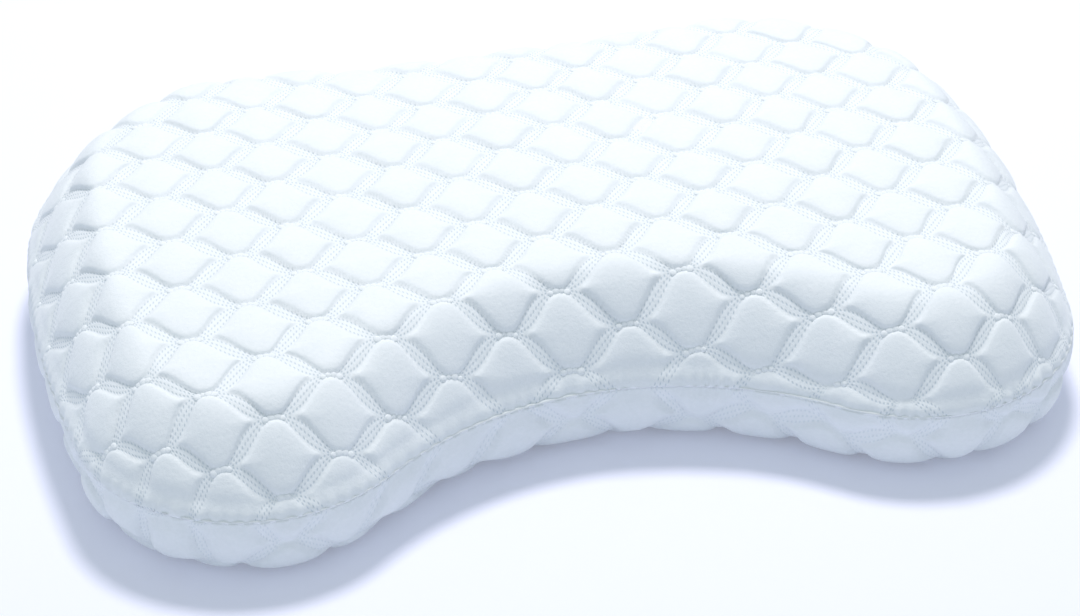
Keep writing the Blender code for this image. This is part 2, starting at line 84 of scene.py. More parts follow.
def waist_radius(lobe_x, lobe_radius, recess):
    rise = lobe_radius - recess
    return (lobe_x**2 + rise**2 - lobe_radius**2) / (2 * recess)


def touching(setback, lobe_radius, beside):
    """Radius of the end arc, centred this far beside a lobe's centre, that touches the lobe."""
    return (setback + 2 * lobe_radius) / 2 + beside**2 / (2 * setback)


def end_arc():
    """Centre and radius of the full arc that touches both lobes and the end plane."""
    low, high = near_lobe[1], far_lobe[1]
    for _ in range(60):
        y = (low + high) / 2
        near = touching(near_lobe_setback, near_lobe_radius, y - near_lobe[1])
        far = touching(far_lobe_setback, far_lobe_radius, y - far_lobe[1])
        low, high = (y, high) if near < far else (low, y)
    return np.array([half_length - near, y]), near


near_lobe = np.array([half_length - near_lobe_setback - near_lobe_radius, near_lobe_radius - half_depth])
far_lobe = np.array([half_length - far_lobe_setback - far_lobe_radius, half_depth - far_lobe_radius])
shoulder_radius = waist_radius(near_lobe[0], near_lobe_radius, shoulder_recess)
head_radius = waist_radius(far_lobe[0], far_lobe_radius, head_recess)
shoulder_centre = np.array([0, shoulder_recess - half_depth - shoulder_radius])
head_centre = np.array([0, half_depth - head_recess + head_radius])
end_centre, end_radius = end_arc()


def bearing(vector):
    return math.atan2(vector[1], vector[0])


def arc(centre, radius, start, end, hollow=False):
    """Rows of x, y and outward normal along an arc, close together, without its last point."""
    steps = max(4, int(abs(end - start) * radius / 0.0004))
    angle = np.linspace(start, end, steps, endpoint=False)
    direction = np.stack([np.cos(angle), np.sin(angle)], 1)
    return np.hstack([centre + radius * direction, -direction if hollow else direction])


def mirrored(run):
    return run[::-1] * np.array([-1, 1, -1, 1])


def outline_sides():
    """The four sides of the outline, each from corner to corner, counter-clockwise from the near one."""
    quarter = math.pi / 2
    to_near = bearing(near_lobe - end_centre)
    to_far = bearing(far_lobe - end_centre)
    near_corner, far_corner = (to_near - quarter) / 2, (to_far + quarter) / 2
    near = np.vstack([
        arc(shoulder_centre, shoulder_radius, quarter, bearing(near_lobe - shoulder_centre), True),
        arc(near_lobe, near_lobe_radius, bearing(shoulder_centre - near_lobe), near_corner),
    ])
    end = np.vstack([
        arc(near_lobe, near_lobe_radius, near_corner, to_near),
        arc(end_centre, end_radius, to_near, to_far),
        arc(far_lobe, far_lobe_radius, to_far, far_corner),
    ])
    far = np.vstack([
        arc(far_lobe, far_lobe_radius, far_corner, bearing(head_centre - far_lobe)),
        arc(head_centre, head_radius, bearing(far_lobe - head_centre), -quarter, True),
    ])
    return [np.vstack([mirrored(near), near]), end, np.vstack([far, mirrored(far)]), mirrored(end)]


def evenly(run, following, count):
    """The run at equal steps of its length, without the first point of the side that follows."""
    line = np.vstack([run, following[:1]])
    along = np.concatenate([[0], np.cumsum(np.linalg.norm(np.diff(line[:, :2], axis=0), axis=1))])
    wanted = np.linspace(0, along[-1], count, endpoint=False)
    return np.stack([np.interp(wanted, along, line[:, axis]) for axis in range(4)], 1)


def top_height(x, y):
    across = crown_drop_across * (y / half_depth) ** 2
    along = crown_drop_along * (x / half_length) ** 2
    return height - across - along


def rolled_edge(upper, spacing):
    """Insets, rises and lengths at equal steps up the wall and over its rounded edge."""
    roll, power = (top_roll, top_roll_power) if upper else (base_roll, base_roll_power)
    tall = (height if upper else 0) - seam_height
    turn = np.linspace(0, math.pi / 2, 4000)
    inset = np.append(roll * (1 - np.cos(turn).clip(0) ** power), roll + level_margin)
    rise = np.append(np.sin(turn) ** power, 1)
    along = np.concatenate([[0], np.cumsum(np.hypot(np.diff(inset), np.diff(rise) * tall))])
    fine = np.linspace(0, along[-1], 800)
    reach = round(3 * softening / fine[1])
    weights = np.exp(-0.5 * (np.arange(-reach, reach + 1) * fine[1] / softening) ** 2)
    weights = weights / weights.sum()
    inset, rise = (np.interp(fine, along, line) for line in (inset, rise))
    inset, rise = (np.pad(line, reach, "reflect", reflect_type="odd") for line in (inset, rise))
    inset, rise = (np.convolve(line, weights, "valid") for line in (inset, rise))
    wanted = np.linspace(0, fine[-1], max(6, round(fine[-1] / spacing)) + 1)
    return np.interp(wanted, fine, inset), np.interp(wanted, fine, rise), wanted


def blended_grid(ring, n_long, n_short):
    """Rows of points inside a ring, blended from its two long and two short sides."""
    near = ring[: n_long + 1]
    right = ring[n_long : n_long + n_short + 1]
    far = ring[n_long + n_short : 2 * n_long + n_short + 1][::-1]
    left = np.vstack([ring[2 * n_long + n_short :], ring[:1]])[::-1]
    u = np.linspace(0, 1, n_long + 1)[None, 1:-1, None]
    v = np.linspace(0, 1, n_short + 1)[1:-1, None, None]
    corners = (near[0] * (1 - u) + near[-1] * u) * (1 - v) + (far[0] * (1 - u) + far[-1] * u) * v
    sides = left[1:-1, None] * (1 - u) + right[1:-1, None] * u
    return near[None, 1:-1] * (1 - v) + far[None, 1:-1] * v + sides - corners


def wall_quads(count, levels):
    """The faces between closed rings of points that follow one another."""
    turn = np.arange(count)
    after = (turn + 1) % count
    band = np.stack([turn, after, after + count, turn + count], 1)
    return np.vstack([band + level * count for level in range(levels - 1)])


def board_quads(board):
    """The faces of a sheet, from the numbers of its points in rows."""
    corners = [board[:-1, :-1], board[:-1, 1:], board[1:, 1:], board[1:, :-1]]
    return np.stack([corner.ravel() for corner in corners], 1)


def drift(x, y, wavelength, seed, waves=7):
    """A soft random field between about -1 and 1."""
    total = 0
    for turn, phase in np.random.default_rng(seed).uniform(0, 2 * math.pi, (waves, 2)):
        total = total + np.sin((x * math.cos(turn) + y * math.sin(turn)) * 2 * math.pi / wavelength + phase)
    return total / math.sqrt(waves)


def half_form(upper, spacing, seam_gap=None):
    """The outer surface above or below the seam, as points, quads and what each point knows.

    seam_gap gives how far its edge stays from the seam at each place on the outline.
    across and along are the cloth's own flat coordinates, laid down outwards from the rim;
    beside is the distance from the seam, and lap the distance round the pillow.
    """
    sides = outline_sides()
    lengths = [np.linalg.norm(np.diff(side[:, :2], axis=0), axis=1).sum() for side in sides]
    n_long, n_short = (max(8, round(lengths[k] / spacing)) for k in (0, 1))
    counts = [n_long, n_short, n_long, n_short]
    ring = np.vstack([evenly(s, sides[(k + 1) % 4], counts[k]) for k, s in enumerate(sides)])
    place, normal = ring[:, :2], ring[:, 2:]
    lap = np.concatenate([[0], np.cumsum(np.linalg.norm(np.diff(place, axis=0), axis=1))])
    laid = normal.copy()
    for side, lobe in ((-1, near_lobe), (1, far_lobe)):
        between = (np.abs(place[:, 0]) < lobe[0]) & (place[:, 1] * side > 0)
        laid[between] = (0, side)
    insets, rises, lengths = rolled_edge(upper, spacing)
    gap = np.zeros(len(place)) if seam_gap is None else seam_gap(place)
    base = seam_height + (gap if upper else -gap)
    rim = place - normal * insets[-1]
    rows, flat, beside, laps = [], [], [], []
    for inset, rise, reach in zip(insets, rises, lengths):
        xy = place - normal * inset
        goal = top_height(*xy.T) if upper else np.zeros(len(xy))
        rows.append(np.column_stack([xy, base + (goal - base) * rise]))
        fallen = (lengths[-1] - reach) - (insets[-1] - inset)
        flat.append(xy + laid * fallen * wall_stretch)
        beside.append(np.full(len(xy), reach))
        laps.append(lap)
    inner = blended_grid(rim, n_long, n_short).reshape(-1, 2)
    rows.append(np.column_stack([inner, top_height(*inner.T) if upper else np.zeros(len(inner))]))
    flat.append(inner)
    beside.append(np.full(len(inner), lengths[-1]))
    laps.append(np.zeros(len(inner)))
    count, levels = len(ring), len(insets)
    last = (levels - 1) * count
    board = np.empty((n_short + 1, n_long + 1), int)
    board[0] = last + np.arange(n_long + 1)
    board[:, -1] = last + n_long + np.arange(n_short + 1)
    board[-1] = last + n_long + n_short + np.arange(n_long + 1)[::-1]
    board[1:, 0] = last + 2 * n_long + n_short + np.arange(n_short)[::-1]
    board[1:-1, 1:-1] = levels * count + np.arange((n_short - 1) * (n_long - 1)).reshape(n_short - 1, -1)
    quads = np.vstack([wall_quads(count, levels), board_quads(board)])
    across, along = np.vstack(flat).T
    sideways = pattern_wander * drift(across, along, 0.11, 1)
    across, along = across + sideways, along + pattern_wander * drift(across, along, 0.13, 2)
    return {
        "points": np.vstack(rows), "quads": quads if upper else quads[:, ::-1], "count": count,
        "across": across, "along": along, "beside": np.concatenate(beside), "lap": np.concatenate(laps),
        "outwards": np.column_stack([normal, np.zeros(count)]), "upper": upper,
    }


def mesh_of(name, points, quads):
    mesh = bpy.data.meshes.new(name)
    mesh.from_pydata(np.asarray(points).tolist(), [], np.asarray(quads).tolist())
    mesh.shade_smooth()
    mesh.update()
    return mesh


def show(name, mesh, *materials):
    """A piece at the origin that holds this mesh."""
    piece = bpy.data.objects.new(name, mesh)
    bpy.context.scene.collection.objects.link(piece)
    for material in materials:
        mesh.materials.append(material)
    return piece


def normals_of(mesh):
    found = np.empty(len(mesh.vertices) * 3, np.float32)
    mesh.vertex_normals.foreach_get("vector", found)
    return found.reshape(-1, 3).astype(float)


def sunk(points, quads, distance):
    """The points moved this far in along the surface's own normals."""
    guide = mesh_of("guide", points, quads)
    moved = points - normals_of(guide) * np.reshape(distance, (-1, 1))
    bpy.data.meshes.remove(guide)
    return moved


def closed_form(spacing):
    """Both halves in one closed skin, with the seam ring of the lower half left out."""
    upper, lower = half_form(True, spacing), half_form(False, spacing)
    shift = len(upper["points"]) - lower["count"]
    quads = lower["quads"].copy()
    quads[quads >= lower["count"]] += shift
    points = np.vstack([upper["points"], lower["points"][lower["count"]:]])
    return points, np.vstack([upper["quads"], quads])


def calc(tree, operation, *terms):
    """The output of one math node. Each term is a socket or a number."""
    node = tree.nodes.new("ShaderNodeMath")
    node.operation = operation
    for socket, term in zip(node.inputs, terms):
        if isinstance(term, (int, float)):
            socket.default_value = term
        else:
            tree.links.new(term, socket)
    return node.outputs[0]


def fill(tree, node, **inputs):
    """Links each named input of a node to a socket, or sets it to a value."""
    for label, value in inputs.items():
        socket = node.inputs[label.replace("_", " ")]
        if isinstance(value, bpy.types.NodeSocket):
            tree.links.new(value, socket)
        else:
            socket.default_value = value
    return node


def group_tree(name, kind, inputs, outputs):
    """An empty node group and its two end nodes. Inputs are (name, type, default)."""
    tree = bpy.data.node_groups.new(name, kind)
    for label, socket, default in inputs:
        made = tree.interface.new_socket(label, in_out="INPUT", socket_type=socket)
        if default is not None:
            made.default_value = default
    for label, socket in outputs:
        tree.interface.new_socket(label, in_out="OUTPUT", socket_type=socket)
    return tree, tree.nodes.new("NodeGroupInput"), tree.nodes.new("NodeGroupOutput")


def new_material(name):
    """A material with an empty Principled BSDF, the parts of its tree and its coordinates."""
    material = bpy.data.materials.new(name)
    material.use_nodes = True
    tree = material.node_tree
    where = tree.nodes.new("ShaderNodeTexCoord").outputs
    return material, tree, tree.nodes["Principled BSDF"], where


def split_up(tree, vector):
    node = tree.nodes.new("ShaderNodeSeparateXYZ")
    tree.links.new(vector, node.inputs[0])
    return node.outputs


def noise(tree, vector, scale, detail=2.0, roughness=0.5):
    node = tree.nodes.new("ShaderNodeTexNoise")
    fill(tree, node, Scale=scale, Detail=detail, Roughness=roughness, Vector=vector)
    return node.outputs["Fac"]


def blend_colours(tree, share, first, second):
    """The colour between two, at the share that a socket gives."""
    node = tree.nodes.new("ShaderNodeMix")
    node.data_type = "RGBA"
    tree.links.new(share, node.inputs["Factor"])
    for socket, colour in ((node.inputs["A"], first), (node.inputs["B"], second)):
        if isinstance(colour, tuple):
            socket.default_value = (*colour, 1)
        else:
            tree.links.new(colour, socket)
    return node.outputs["Result"]


def add_bump(tree, shader, heights, strength, distance):
    node = tree.nodes.new("ShaderNodeBump")
    fill(tree, node, Strength=strength, Distance=distance, Height=heights)
    tree.links.new(node.outputs["Normal"], shader.inputs["Normal"])


def foam_material():
    material, tree, shader, where = new_material("moulded_foam")
    pores = tree.nodes.new("ShaderNodeTexVoronoi")
    fill(tree, pores, Scale=900, Vector=where["Object"])
    pore = calc(tree, "SMOOTH_MIN", pores.outputs["Distance"], 0.5, 0.2)
    clouds = noise(tree, where["Object"], 30, 4)
    colour = blend_colours(tree, clouds, (0.80, 0.74, 0.56), (0.88, 0.83, 0.68))
    fill(tree, shader, Base_Color=colour, Roughness=calc(tree, "MULTIPLY_ADD", clouds, 0.15, 0.78))
    add_bump(tree, shader, pore, 0.5, 0.0004)
    return material


core_points, core_quads = closed_form(0.0045 * draft)
core_mesh = mesh_of("foam_core_block", sunk(core_points, core_quads, core_depth), core_quads)
foam_core = show("foam_core_block", core_mesh, foam_material())
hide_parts("foam_core")
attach(foam_core, "pillow")


# --- Liner ------------------------------------------------------------------------------
# A thin white stretch jersey, two panels drawn tight round the foam and stitched together
# at the level of the outer seam, so the core stays clean when the cover is washed.

liner_depth = 0.0061


def jersey_material():
    material, tree, shader, where = new_material("liner_jersey")
    ribs = tree.nodes.new("ShaderNodeTexWave")
    fill(tree, ribs, Scale=180, Distortion=1.5, Vector=where["Object"])
    colour = blend_colours(tree, ribs.outputs["Fac"], (0.80, 0.81, 0.82), (0.90, 0.91, 0.92))
    fill(tree, shader, Base_Color=colour, Roughness=0.9)
    add_bump(tree, shader, ribs.outputs["Fac"], 0.5, 0.0003)
    return material


jersey = jersey_material()
for upper, label, node in (
    (True, "liner_upper", "liner_top"),
    (False, "liner_lower", "liner_bottom"),
):
    form = half_form(upper, 0.0045 * draft)
    mesh = mesh_of(label, sunk(form["points"], form["quads"], liner_depth), form["quads"])
    panel = show(label, mesh, jersey)
    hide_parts(node)
    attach(panel, "pillow")


# --- Wadding ---------------------------------------------------------------------------
# A thin polyester batting that is quilted to each outer panel. Wavy bands of stitches
# press it down, and it stands up in the lens-shaped cells between them.

wadding_spacing = 0.0028 * draft
band_depth = 0.0028
knit_thickness = 0.0016
column_pitch = 0.03425
row_pitch = 0.02245
knot_x, knot_y = -0.0475, -0.0389
band_at_knot = 0.0008
band_widest = 0.0047


def cell_edge(across, along):
    """How far a flat point lies inside its cell, below zero on a band; and which cell it is."""
    column = (across - knot_x) / column_pitch
    row = (along - knot_y) / row_pitch
    strip = np.floor(row)
    edges = []
    for step in (-1, 0, 1):
        phase = math.pi * (column + strip + step)
        wave = strip + step + 0.5 - 0.5 * np.cos(phase)
        slope = 0.5 * math.pi * np.sin(phase) * row_pitch / column_pitch
        band = band_at_knot + (band_widest - band_at_knot) * np.sin(phase) ** 2
        edges.append(np.abs(row - wave) * row_pitch / np.hypot(1, slope) - band)
        if step == 0:
            cell_row = strip + (row > wave)
    cell_column = 2 * np.floor((column + cell_row) / 2) - cell_row
    soft = 0.0006
    edge = -soft * np.log(sum(np.exp(-e / soft) for e in edges))
    return edge, cell_row, cell_column


def eased(value, start, end):
    share = ((value - start) / (end - start)).clip(0, 1)
    return share * share * (3 - 2 * share)


def puffed(form, rim, dome, rim_width=0.0008, dome_width=0.006):
    """How far each point of a half stands off its bands."""
    edge, cell_row, cell_column = cell_edge(form["across"], form["along"])
    fullness = 1 + 0.13 * np.sin(12.9898 * cell_row + 78.233 * cell_column)
    inside = edge.clip(0)
    steep = rim * (1 - np.exp(-inside / rim_width))
    return fullness * (steep + dome * (1 - np.exp(-inside / dome_width)))


def batting_material():
    material, tree, shader, where = new_material("batting")
    fibres = noise(tree, where["Object"], 350, 5, 0.75)
    colour = blend_colours(tree, fibres, (0.78, 0.79, 0.80), (0.93, 0.93, 0.93))
    fill(tree, shader, Base_Color=colour, Roughness=0.95, Sheen_Weight=0.4)
    add_bump(tree, shader, fibres, 0.7, 0.0012)
    return material


batting = batting_material()
for upper, label, node, dome in (
    (True, "batting_upper", "wadding_top", 0.0020),
    (False, "batting_lower", "wadding_bottom", 0.0006),
):
    form = half_form(upper, wadding_spacing)
    raised = puffed(form, 0, dome) * eased(form["beside"], 0.001, 0.009)
    under = sunk(form["points"], form["quads"], band_depth + knit_thickness - raised)
    panel = show(label, mesh_of(label, under, form["quads"]), batting)
    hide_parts(node)
    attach(panel, "pillow")


# --- Quilted top panel -----------------------------------------------------------------
# A velvety white knit over a thin sheet of wadding, quilted flat before it is cut: wavy
# bands are pressed down with three rows of small stitches, so that rounded lens-shaped
# cells stand up between them. The panel is sewn to the lower one round the side.

cloth_spacing = 0.0012 * draft**1.5
zip_half = 0.115
zip_opening = 0.012
closed_gap = 0.0001
open_gap = 0.0003


def near_zip(place, beyond, fade):
    """1 beside the zip, and fading to 0 a little beyond its ends."""
    along = head_radius * np.arctan2(place[:, 0], head_centre[1] - place[:, 1])
    return eased(np.where(place[:, 1] > 0, zip_half + beyond - np.abs(along), -1), 0, fade)


def panel_gap(place):
    """Half the slit between the panels: closed all round, and open where the zip goes in."""
    return closed_gap + (zip_opening / 2 - closed_gap) * near_zip(place, 0.002, 0.003)


def hemmed(points, quads, count, form):
    """The panel with its edge turned in, so that its cut edge doesn't show."""
    ring = np.arange(count)
    folds = [points[:count] - form["outwards"] * depth for depth in (0.0008, 0.0035)]
    first = len(points) + ring
    second = first + count
    turn = (ring + 1) % count
    pairs = ((first, ring), (second, first))
    added = [np.stack([inner, inner[turn], outer[turn], outer], 1) for inner, outer in pairs]
    if not form["upper"]:
        added = [quad[:, ::-1] for quad in added]
    return np.vstack([points, *folds]), np.vstack([quads, *added])


def puckers(form, depth, pitch=0.0095):
    """The small gathers that the seam's thread pulls into the cloth beside it."""
    wander = form["lap"] + 0.004 * drift(form["lap"], 0, 0.05, 3)
    fade = np.exp(-((form["beside"] / 0.008) ** 2)) * eased(form["beside"], 0, 0.002)
    uneven = 1 + 0.6 * drift(form["lap"], 0, 0.083, 4, 4)
    return depth * fade * np.sin(2 * math.pi * wander / pitch) * uneven


def sewn_panel(name, form, lift, *materials):
    """The raised and hemmed panel. Its UV map holds the cloth's flat coordinates in metres."""
    raised = sunk(form["points"], form["quads"], -lift)
    if not form["upper"]:
        raised[:, 2] = raised[:, 2].clip(0)
    mesh = mesh_of(name, *hemmed(raised, form["quads"], form["count"], form))
    corners = np.empty(len(mesh.loops), np.int32)
    mesh.loops.foreach_get("vertex_index", corners)
    flat = np.column_stack([form["across"], form["along"]])
    flat = np.vstack([flat, flat[: form["count"]], flat[: form["count"]]])[corners]
    mesh.uv_layers.new(name="flat_cloth").data.foreach_set("uv", flat.astype(np.float32).ravel())
    panel = show(name, mesh, *materials)
    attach(panel, "pillow")
    return panel


def stitch_rows_group():
    """From the flat cloth coordinates, the pits of the three stitch rows on each band."""
    tree, entry, leave = group_tree(
        "stitch rows", "ShaderNodeTree",
        [("Flat", "NodeSocketVector", None), ("Stitch Length", "NodeSocketFloat", 0.0027),
         ("Pit Radius", "NodeSocketFloat", 0.00086), ("Row Spread", "NodeSocketFloat", 0.66)],
        [("Pits", "NodeSocketFloat")],
    )
    flat = split_up(tree, entry.outputs["Flat"])
    column = calc(tree, "DIVIDE", calc(tree, "SUBTRACT", flat["X"], knot_x), column_pitch)
    row = calc(tree, "DIVIDE", calc(tree, "SUBTRACT", flat["Y"], knot_y), row_pitch)
    strip = calc(tree, "FLOOR", row)
    phase = calc(tree, "MULTIPLY", calc(tree, "ADD", column, strip), math.pi)
    wave = calc(tree, "MULTIPLY_ADD", calc(tree, "COSINE", phase), -0.5, calc(tree, "ADD", strip, 0.5))
    sine = calc(tree, "SINE", phase)
    slope = calc(tree, "MULTIPLY", sine, 0.5 * math.pi * row_pitch / column_pitch)
    steep = calc(tree, "SQRT", calc(tree, "MULTIPLY_ADD", slope, slope, 1.0))
    off = calc(tree, "DIVIDE", calc(tree, "MULTIPLY", calc(tree, "SUBTRACT", row, wave), row_pitch), steep)
    swell = calc(tree, "MULTIPLY", sine, sine)
    half = calc(tree, "MULTIPLY_ADD", swell, band_widest - band_at_knot, band_at_knot)
    spread = calc(tree, "MULTIPLY", half, entry.outputs["Row Spread"])
    lane = calc(tree, "DIVIDE", off, spread)
    nearest = calc(tree, "ROUND", calc(tree, "MAXIMUM", calc(tree, "MINIMUM", lane, 1.4), -1.4))
    beside = calc(tree, "MULTIPLY", calc(tree, "SUBTRACT", lane, nearest), spread)
    waviness = calc(tree, "MULTIPLY", calc(tree, "SINE", calc(tree, "MULTIPLY", phase, 2.0)), -0.0342)
    along = calc(tree, "MULTIPLY", calc(tree, "MULTIPLY_ADD", column, 1.222, waviness), column_pitch)
    stagger = calc(tree, "MULTIPLY", calc(tree, "ABSOLUTE", nearest), 0.5)
    count = calc(tree, "ADD", calc(tree, "DIVIDE", along, entry.outputs["Stitch Length"]), stagger)
    ahead = calc(tree, "SUBTRACT", count, calc(tree, "ROUND", count))
    ahead = calc(tree, "MULTIPLY", ahead, entry.outputs["Stitch Length"])
    squares = (calc(tree, "MULTIPLY", side, side) for side in (ahead, beside))
    reach = calc(tree, "DIVIDE", calc(tree, "SQRT", calc(tree, "ADD", *squares)), entry.outputs["Pit Radius"])
    pit = calc(tree, "SUBTRACT", 1.0, calc(tree, "SMOOTH_MIN", reach, 1.0, 0.3))
    wide = calc(tree, "MINIMUM", calc(tree, "MULTIPLY", swell, 2.5), 1.0)
    tree.links.new(calc(tree, "MULTIPLY", calc(tree, "MAXIMUM", pit, 0.0), wide), leave.inputs["Pits"])
    return tree


def cloth_material(name, pressed):
    material, tree, shader, where = new_material(name)
    pile = noise(tree, where["Object"], 1400, 3, 0.7)
    nap = noise(tree, where["Object"], 420, 2, 0.6)
    soft = noise(tree, where["Object"], 60, 3)
    height = calc(tree, "ADD", calc(tree, "ADD", pile, calc(tree, "MULTIPLY", nap, 2.2)), soft)
    tone = calc(tree, "MULTIPLY_ADD", calc(tree, "SUBTRACT", nap, 0.5), 1.2, soft)
    colour = blend_colours(tree, tone, (0.78, 0.83, 0.865), (0.84, 0.88, 0.915))
    if pressed:
        rows = tree.nodes.new("ShaderNodeGroup")
        rows.node_tree = stitch_rows_group()
        flat = tree.nodes.new("ShaderNodeUVMap")
        flat.uv_map = "flat_cloth"
        tree.links.new(flat.outputs[0], rows.inputs["Flat"])
        # The stitch pits are also darkened in colour toward a cool grey. This is painted shade in the pits,
        # on top of their real bump below.
        shade = calc(tree, "MULTIPLY", rows.outputs["Pits"], 0.85 * pressed)
        colour = blend_colours(tree, shade, colour, (0.50, 0.60, 0.68))
        height = calc(tree, "SUBTRACT", height, calc(tree, "MULTIPLY", rows.outputs["Pits"], 3.6 * pressed))
    fill(tree, shader, Base_Color=colour, Roughness=0.85, Sheen_Weight=0.25, Sheen_Roughness=0.4)
    add_bump(tree, shader, height, 0.35, 0.0004)
    return material


seam_dip = 0.0012
top_form = half_form(True, cloth_spacing, panel_gap)
top_calm = 1 - 0.35 * eased(-top_form["beside"], -0.070, -0.025)
top_puff = puffed(top_form, rim=0.0015, dome=0.0024, rim_width=0.0006, dome_width=0.0075)
top_puff = top_puff * top_calm * eased(top_form["beside"], 0.002, 0.024)
near_seam = eased(top_form["beside"], 0.001, 0.016)
top_dip = seam_dip * np.exp(-((top_form["beside"] / 0.005) ** 2))
top_lift = top_puff - band_depth * near_seam - top_dip + puckers(top_form, 0.0005)
top_lift = top_lift + 0.0008 * drift(top_form["across"], top_form["along"], 0.16, 5)
over_tape = near_zip(top_form["points"], 0.012, 0.008) * eased(top_form["beside"], 0.003, 0.0055)
over_tape = over_tape * (1 - eased(top_form["beside"], 0.010, 0.020))
top_lift = top_lift + 0.0016 * over_tape  # the tape holds the cloth out behind its topstitching
cover_cloth = cloth_material("quilted_knit", 1.0)
quilted_top = sewn_panel("quilted_top", top_form, top_lift, cover_cloth)
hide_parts("cover_panel_top")


# --- Quilted lower panel ---------------------------------------------------------------
# The same knit and wadding, quilted more flatly. The pillow rests on it, so its cells are
# level underneath and only their bands lift off the table.

base_form = half_form(False, cloth_spacing * 1.4, panel_gap)
base_puff = puffed(base_form, rim=0.0012, dome=0.0022)
near_seam = eased(base_form["beside"], 0.001, 0.012)
base_dip = seam_dip * np.exp(-((base_form["beside"] / 0.006) ** 2))
base_lift = (base_puff - 0.0030) * near_seam - base_dip + puckers(base_form, 0.0004)
base_cloth = cloth_material("quilted_knit_lower", 0.5)
quilted_base = sewn_panel("quilted_base", base_form, base_lift, base_cloth)
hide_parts("cover_panel_bottom")


# --- Knot beads -------------------------------------------------------------------------
# Where two bands meet, the stitches cross and nip the cloth into a short row of little
# round puffs, each about 4 mm across.


def add_node(tree, kind, **inputs):
    return fill(tree, tree.nodes.new(kind), **inputs)


def vector_fact(tree, name):
    node = tree.nodes.new("GeometryNodeInputNamedAttribute")
    node.data_type = "FLOAT_VECTOR"
    node.inputs["Name"].default_value = name
    return node.outputs["Attribute"]


def finish_tree(tree, geometry, entry, leave):
    """Ends a node group in plain, smooth geometry with the material that it is given."""
    plain = add_node(tree, "GeometryNodeRealizeInstances", Geometry=geometry)
    smooth = add_node(tree, "GeometryNodeSetShadeSmooth", Geometry=plain.outputs[0])
    painted = add_node(tree, "GeometryNodeSetMaterial", Geometry=smooth.outputs[0])
    fill(tree, painted, Material=entry.outputs["Material"])
    tree.links.new(painted.outputs[0], leave.inputs["Geometry"])


def grown(name, tree, mesh, **settings):
    """A plain piece at the origin, made by running a node group on a mesh."""
    guide = show(name + "_guide", mesh)
    modifier = guide.modifiers.new("grow", "NODES")
    modifier.node_group = tree
    for item in tree.interface.items_tree:
        label = item.name.replace(" ", "_")
        if item.in_out == "INPUT" and label in settings:
            modifier[item.identifier] = settings[label]
    graph = bpy.context.evaluated_depsgraph_get()
    made = bpy.data.meshes.new_from_object(guide.evaluated_get(graph))
    bpy.data.objects.remove(guide)
    piece = show(name, made)
    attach(piece, "pillow")
    return piece


def knot_beads_tree():
    tree, entry, leave = group_tree(
        "knot beads", "GeometryNodeTree",
        [("Geometry", "NodeSocketGeometry", None), ("Cloth", "NodeSocketObject", None),
         ("Bead Radius", "NodeSocketFloat", 0.0021), ("Bead Height", "NodeSocketFloat", 0.0008),
         ("Seam Clearance", "NodeSocketFloat", 0.009),
         ("Seed", "NodeSocketInt", 3), ("Material", "NodeSocketMaterial", None)],
        [("Geometry", "NodeSocketGeometry")],
    )
    cloth = add_node(tree, "GeometryNodeObjectInfo", Object=entry.outputs["Cloth"]).outputs["Geometry"]
    place = tree.nodes.new("GeometryNodeInputPosition").outputs[0]
    facing = tree.nodes.new("GeometryNodeInputNormal").outputs[0]
    found = []
    for value in (place, facing):
        sample = tree.nodes.new("GeometryNodeSampleUVSurface")
        sample.data_type = "FLOAT_VECTOR"
        for socket, source in zip(sample.inputs, (cloth, value, vector_fact(tree, "flat_cloth"), place)):
            tree.links.new(source, socket)
        found.append(sample)
    off_cloth = add_node(tree, "FunctionNodeBooleanMath", Boolean=found[0].outputs["Is Valid"])
    off_cloth.operation = "NOT"
    level = split_up(tree, found[0].outputs["Value"])["Z"]
    from_seam = calc(tree, "ABSOLUTE", calc(tree, "SUBTRACT", level, seam_height))
    at_seam = calc(tree, "LESS_THAN", from_seam, entry.outputs["Seam Clearance"])
    dropped = tree.nodes.new("FunctionNodeBooleanMath")
    dropped.operation = "OR"
    tree.links.new(off_cloth.outputs[0], dropped.inputs[0])
    tree.links.new(at_seam, dropped.inputs[1])
    kept = tree.nodes.new("GeometryNodeStoreNamedAttribute")
    kept.data_type = "FLOAT_VECTOR"
    fill(tree, kept, Name="lean", Geometry=entry.outputs["Geometry"], Value=found[1].outputs["Value"])
    trimmed = add_node(tree, "GeometryNodeDeleteGeometry", Geometry=kept.outputs[0])
    fill(tree, trimmed, Selection=dropped.outputs[0])
    laid = add_node(tree, "GeometryNodeSetPosition", Geometry=trimmed.outputs[0])
    fill(tree, laid, Position=found[0].outputs["Value"])
    bead = add_node(tree, "GeometryNodeMeshUVSphere", Segments=10, Rings=6, Radius=1.0)
    size = tree.nodes.new("ShaderNodeCombineXYZ")
    wide = add_node(tree, "FunctionNodeRandomValue", Seed=entry.outputs["Seed"])
    wide.inputs[2].default_value = 0.75
    wide.inputs[3].default_value = 1.2
    radius = calc(tree, "MULTIPLY", wide.outputs[1], entry.outputs["Bead Radius"])
    for axis in ("X", "Y"):
        tree.links.new(radius, size.inputs[axis])
    tree.links.new(calc(tree, "MULTIPLY", wide.outputs[1], entry.outputs["Bead Height"]), size.inputs["Z"])
    turn = add_node(tree, "FunctionNodeAlignRotationToVector", Vector=vector_fact(tree, "lean"))
    turn.axis = "Z"
    beads = add_node(
        tree, "GeometryNodeInstanceOnPoints", Points=laid.outputs[0], Instance=bead.outputs[0],
        Rotation=turn.outputs[0], Scale=size.outputs[0],
    )
    finish_tree(tree, beads.outputs[0], entry, leave)
    return tree


